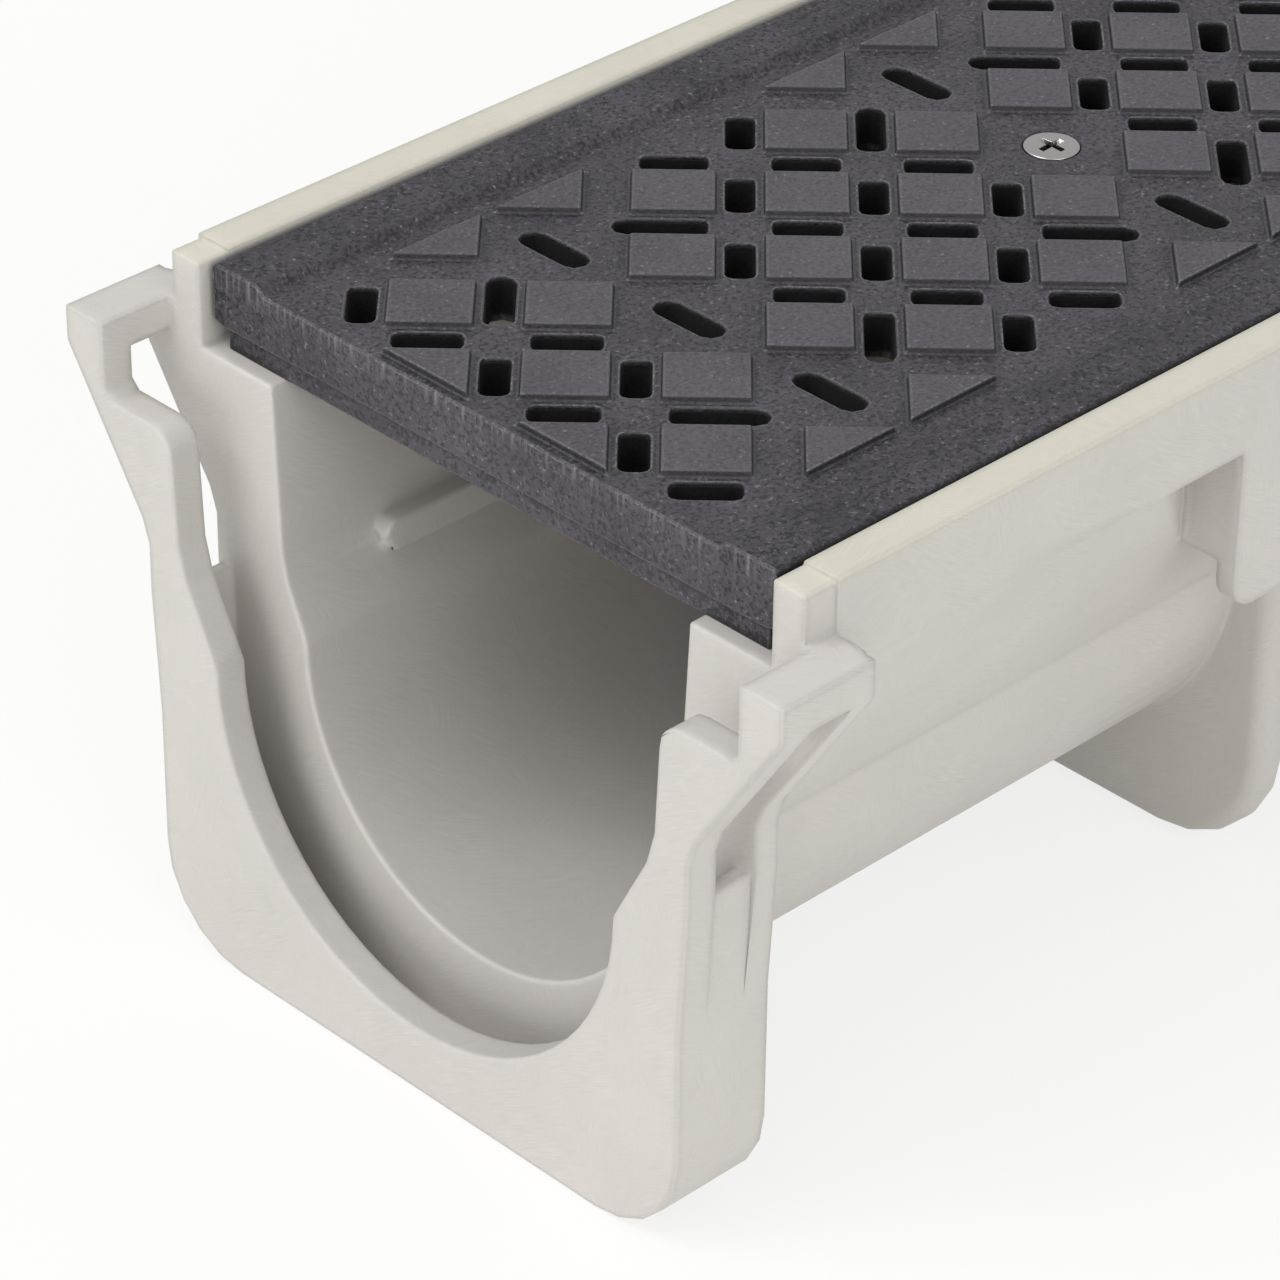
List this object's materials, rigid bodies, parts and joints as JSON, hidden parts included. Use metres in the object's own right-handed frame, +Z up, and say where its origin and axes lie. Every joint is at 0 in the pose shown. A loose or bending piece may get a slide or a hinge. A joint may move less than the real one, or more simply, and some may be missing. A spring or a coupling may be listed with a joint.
{
  "type": "drainage channel with cast iron grate",
  "caption": "Moulded composite drainage channel on feet, with a socket end and hooks, a round-bottomed waterway and a screwed-down cast iron grate with a raised diamond tread",
  "frame": {"origin": "Middle of the bounding box in X and Y, on the ground under the feet", "axes": "X runs along the channel from the socket end to the bare end, Y across it, Z up"},
  "size_m": [0.518, 0.158, 0.119],
  "materials": {
    "composite": "pale ivory glass-fibre reinforced composite, matt, with fine fibre streaks",
    "cast_iron": "dark charcoal dip coat over a sandy casting",
    "zinc_steel": "dull zinc plating",
    "stainless": "bright turned stainless steel"
  },
  "bodies": {
    "root": {"channel_body": "composite", "grate": "cast_iron", "locking_bar_near": "zinc_steel", "locking_bar_far": "zinc_steel", "locking_screw_near": "stainless", "locking_screw_far": "stainless"}
  },
  "joints": []
}
